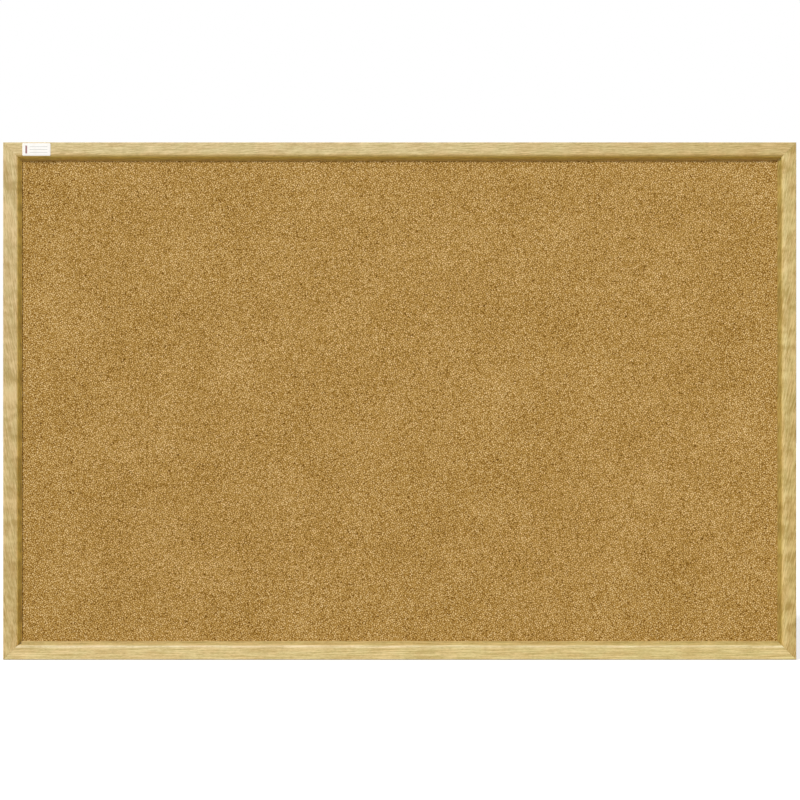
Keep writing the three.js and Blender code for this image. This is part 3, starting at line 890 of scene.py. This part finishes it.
def strap_line():
    """The strip's middle line as rows of (back, up, half its width): up the lower leaf, round the
    eye and through the fold, and down the upper leaf. Each leaf ends in a half circle."""
    turns = np.radians(np.linspace(6, 90, 12))  # the first few degrees are left out at the tip
    leaf_end = -STRAP_REACH - STRAP_HALF
    upper = STRAP_TOP - STRAP / 2
    fold_back = upper + FOLD_RADIUS
    fold_up = -math.sqrt((EYE_RADIUS + FOLD_RADIUS) ** 2 - (fold_back - EYE_CENTRE) ** 2)
    turn = math.degrees(math.atan2(fold_up, fold_back - EYE_CENTRE))
    heights = np.concatenate([leaf_end + STRAP_HALF * (1 - np.cos(turns)), LEAF_ROWS])
    halves = np.concatenate([STRAP_HALF * np.sin(turns), [STRAP_HALF] * len(LEAF_ROWS)])
    lower_leaf = np.stack([np.full(len(heights), STRAP / 2), heights], 1)
    upper_leaf = np.stack([np.full(len(heights), upper), heights], 1)[::-1]
    eye = arc((EYE_CENTRE, 0), EYE_RADIUS, 180, turn, steps=36)
    fold = arc((fold_back, fold_up), FOLD_RADIUS, turn + 180, 180, steps=8)[1:]
    line = np.concatenate([lower_leaf, eye, fold, upper_leaf])
    widths = np.concatenate([halves, np.full(len(eye) + len(fold), STRAP_HALF), halves[::-1]])
    return np.column_stack([line, widths])


def strap(name, middle):
    """The strip as a surface of two parameters, point = (share * half width, back, up), then given
    its thickness and eased edges."""
    line = strap_line()
    share = np.linspace(-1, 1, STRAP_COLUMNS)
    parts = [line[:, 2:] * share, line[:, :1], line[:, 1:2]]
    points = np.stack(np.broadcast_arrays(*parts), -1) + middle
    piece = new_piece(name, points, grid_faces(len(line), len(share)))
    wall = piece.modifiers.new("thickness", "SOLIDIFY")
    wall.thickness, wall.offset, wall.use_even_offset = STRAP, 0.0, True
    eased(piece, STRAP_EDGE)
    made_solid(piece)
    hole = (middle[0], middle[1], middle[2] - STRAP_REACH)
    cut(piece, [drill(name + "_hole", hole, *STRAP_HOLE)])
    return piece


def ring_line():
    """The wire's middle line as rows of (across, up): half the bar, a corner, a leg, the bow, and
    back to the other half of the bar, which the first nearly meets."""
    return np.concatenate([
        [(RING_BUTT / 2 + past, 0) for past in RING_ENDS],
        arc((RING_HALF - RING_CORNER, -RING_CORNER), RING_CORNER, 90, 0, steps=10),
        arc((0, -RING_CORNER - RING_LEG), RING_HALF, 0, -180, steps=48),
        arc((RING_CORNER - RING_HALF, -RING_CORNER), RING_CORNER, 180, 90, steps=10),
        [(-RING_BUTT / 2 - past, 0) for past in RING_ENDS[::-1]],
    ])


def ring(name, middle, body):
    """Carries a circle along the wire: point = line + radius * (normal * cos a + back * sin a). The
    radius closes to 0 over the rounded ends. The ring hangs tilted over the strap."""
    line = ring_line()
    radius = np.full(len(line), WIRE_RADIUS)
    ends = len(RING_END_SIZES)
    radius[:ends] = WIRE_RADIUS * RING_END_SIZES
    radius[-ends:] = radius[:ends][::-1]
    run = np.gradient(line, axis=0)
    run /= np.linalg.norm(run, axis=1)[:, None]
    angle = np.linspace(0, 2 * math.pi, RING_SIDES, endpoint=False)
    out = radius[:, None] * np.cos(angle)
    across = line[:, :1] - run[:, 1:] * out
    up = line[:, 1:] + run[:, :1] * out
    back = radius[:, None] * np.sin(angle)
    reach = RING_CORNER + RING_LEG + RING_HALF
    tilt = math.asin((STRAP_TOP + RING_REST_GAP + WIRE_RADIUS - EYE_CENTRE) / reach)
    tilted_back = back * math.cos(tilt) - up * math.sin(tilt)
    tilted_up = back * math.sin(tilt) + up * math.cos(tilt)
    points = np.stack([across, tilted_back, tilted_up], -1)
    points += (middle[0], middle[1] + EYE_CENTRE, middle[2])
    return new_piece(name, points, grid_faces(len(line), RING_SIDES, wrap_columns=True), body)


SCREW_LENGTH = 12 * MM
SCREW_TIP = 2.5 * MM
SCREW_CORE = 1.02 * MM
SCREW_CREST = 1.48 * MM
SCREW_PITCH = 1.25 * MM
SCREW_NECK = 2 * MM  # smooth part under the head
NECK_RADIUS = SCREW_CORE + 0.2 * MM
NECK_CONE = 0.3 * MM  # from the thread out to the neck
THREAD_ROWS = 110
RIDGE_HALF = 0.24  # of the pitch
HEAD_RADIUS = 2.9 * MM
HEAD_HEIGHT = 1.9 * MM
HEAD_EDGE = 0.15 * MM
RECESS_HALF = 1.5 * MM
RECESS_ARM = 0.4 * MM
RECESS_DEPTH = 1.1 * MM
RECESS_SLOPE = 0.55  # size of the recess's floor to its mouth
TURNS = [((1, 0), (0, 1)), ((0, 1), (-1, 0)), ((-1, 0), (0, -1)), ((0, -1), (1, 0))]


def screw(name, middle):
    """A pan-head screw round its axis: radius = core + (crest - core) * ridge(height / pitch - a),
    tapered over the tip, then the neck and the head's profile. A tapered cross is cut into it."""
    angle = np.linspace(0, 1, TURNED_SIDES, endpoint=False)
    height = np.linspace(-SCREW_LENGTH, -SCREW_NECK, THREAD_ROWS)
    wave = (height[:, None] / SCREW_PITCH - angle) % 1
    ridge = np.clip(1 - np.abs(wave - 0.5) / RIDGE_HALF, 0, 1)
    taper = np.clip((height + SCREW_LENGTH) / SCREW_TIP, 0, 1)[:, None]
    threaded = (SCREW_CORE + (SCREW_CREST - SCREW_CORE) * ridge) * taper
    dome = HEAD_HEIGHT / 2
    head = np.concatenate([
        [(NECK_RADIUS, -SCREW_NECK + NECK_CONE), (NECK_RADIUS, 0)],
        [(HEAD_RADIUS - HEAD_EDGE, 0), (HEAD_RADIUS, HEAD_EDGE)],
        arc((HEAD_RADIUS - dome, HEAD_HEIGHT - dome), (dome, dome * 0.92), 0, 80, steps=8),
        [(0, HEAD_HEIGHT)],
    ])
    radius = np.concatenate([threaded, np.repeat(head[:, :1], TURNED_SIDES, 1)])
    on_strap = np.array(middle) + (0, STRAP_TOP, -STRAP_REACH)
    piece = turned(name, radius, np.concatenate([height, head[:, 1]]), on_strap)
    half, arm = RECESS_HALF, RECESS_ARM
    quarter = np.array([(half, -arm), (half, arm), (arm, arm)])
    cross = np.concatenate([quarter @ np.array(way) for way in TURNS])
    levels = [
        (RECESS_SLOPE, HEAD_HEIGHT - RECESS_DEPTH),
        (1.0, HEAD_HEIGHT),
        (1.2, HEAD_HEIGHT + 0.5 * MM),  # clear of the head
    ]
    count = len(cross)
    rows = [
        np.column_stack([cross[:, 0] * size, np.full(count, back), cross[:, 1] * size])
        for size, back in levels
    ]
    faces = grid_faces(len(levels), count, wrap_columns=True).tolist()
    faces += [list(range(count)), list(range(3 * count - 1, 2 * count - 1, -1))]
    cutter = new_piece(name + "_cross", np.concatenate(rows) + on_strap, faces, body=None)
    cut(piece, [cutter])
    return piece


zinc = steel(
    "zinc_plate",
    dark=(176, 180, 186),
    bright=(212, 215, 219),
    roughness=0.2,
    marks=(1400.0, 1400.0, 300.0),
    tarnish=(186, 180, 160),
)

for side in ("left", "right"):
    bar_low, bar_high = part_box(side + "_hanger_strap")
    middle = np.array([(bar_low[0] + bar_high[0]) / 2, 0, bar_high[2] - EYE_CENTRE])
    pieces = {
        side + "_hanger_strap": strap(side + "_folded_strap", middle),
        side + "_hanger_ring": ring(side + "_wire_ring", middle, side + "_ring"),
        side + "_hanger_screw": screw(side + "_pan_screw", middle),
    }
    for node, piece in pieces.items():
        piece.data.materials.append(zinc)
        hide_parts(node)

# Label: a white film stuck on the top rail's face. Its lower edge stands over the rounded step and
# droops a little. It carries a dark red bar and three grey rules and no lettering.
LABEL_CORNER = 1.2 * MM
LABEL_THICKNESS = 0.3 * MM
LABEL_DROOP = 0.35 * MM
# Rows from the middle of the front over the edge to the middle of the back: how far out they lie,
# as a share of the outline, and how high, as a share of the thickness.
LABEL_ROWS = np.array([
    [0, 0.25, 0.5, 0.75, 0.93, 0.985, 0.997, 1, 1, 0.93, 0.5, 0],
    [1, 1, 1, 1, 1, 1, 0.75, 0.4, 0, 0, 0, 0],
])
# The print, in millimetres from the label's lower left corner: across and up.
BAR = ((3.4, 5.4), (2.6, 11.6))
RULES_ACROSS = (8.2, 28.4)
RULES_UP = (3.6, 6.8, 10.0)
RULE_HEIGHT = 0.5
INK_EDGE = 0.1
INK_GRAIN = 0.35 * MM
FILM_MOTTLE = 4 * MM
FILM_WHITE, FILM_DULL = tone(246, 243, 238), tone(238, 234, 226)
BAR_TONE, RULE_TONE = tone(128, 44, 48), tone(138, 142, 136)
FILM_RELIEF = 0.05 * MM


def label_film():
    """A rounded rectangle in polar form: point = middle + share * outline(a), from the middle of
    the front out over the rounded edge to the middle of the back, sagging with the square of the
    overhang."""
    near, far = (np.array(corner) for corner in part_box("label"))
    middle, half = (near + far)[[0, 2]] / 2, (far - near)[[0, 2]] / 2
    corners = np.array([(1, 1), (-1, 1), (-1, -1), (1, -1)]) * (half - LABEL_CORNER)
    outline = np.concatenate([
        arc(corner, LABEL_CORNER, 90 * i, 90 * i + 90, steps=8) for i, corner in enumerate(corners)
    ])
    share = LABEL_ROWS[0][:, None, None]
    height = LABEL_ROWS[1][:, None] * LABEL_THICKNESS
    flat = middle + share * outline
    step = high[2] - STEP_START
    overhang = np.clip((step - flat[..., 1]) / (step - near[2]), 0, None)
    points = np.stack([flat[..., 0], face_y - height + LABEL_DROOP * overhang**2, flat[..., 1]], -1)
    return new_piece("label_film", points, grid_faces(*points.shape[:2], wrap_columns=True))


def printed_film():
    """White film with a bar and three rules, in millimetres from its lower left corner."""
    corner = np.array(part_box("label")[0]) / MM
    film = Finish(bpy.data.materials.new("printed_film"))
    place = film.object_place(MM)
    x, z = (film.part(place, i) - float(corner[i]) for i in (0, 2))

    def printed(across, up):
        """1 inside a rectangle, with edges as soft as ink."""
        left, right = (x.rise(edge, edge + INK_EDGE) for edge in across)
        lower, upper = (z.rise(edge, edge + INK_EDGE) for edge in up)
        return left * (1 - right) * lower * (1 - upper)

    ink = film.noise(film.object_place(INK_GRAIN), 2.0)
    mottle = film.noise(film.object_place(FILM_MOTTLE), 2.0)
    colour = film.mix(mottle.rise(0.4, 0.7) * 0.5, FILM_WHITE, FILM_DULL)
    colour = film.mix(printed(*BAR) * (0.75 + 0.2 * ink), colour, BAR_TONE)
    for up in RULES_UP:
        rule = printed(RULES_ACROSS, (up, up + RULE_HEIGHT))
        colour = film.mix(rule * (0.5 + 0.2 * ink), colour, RULE_TONE)
    return film.surface({
        "Base Color": colour,
        "Roughness": 0.34 + 0.1 * mottle,
        "Normal": film.bump(mottle, FILM_RELIEF),
    })


label = label_film()
label.data.materials.append(printed_film())
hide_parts("label")
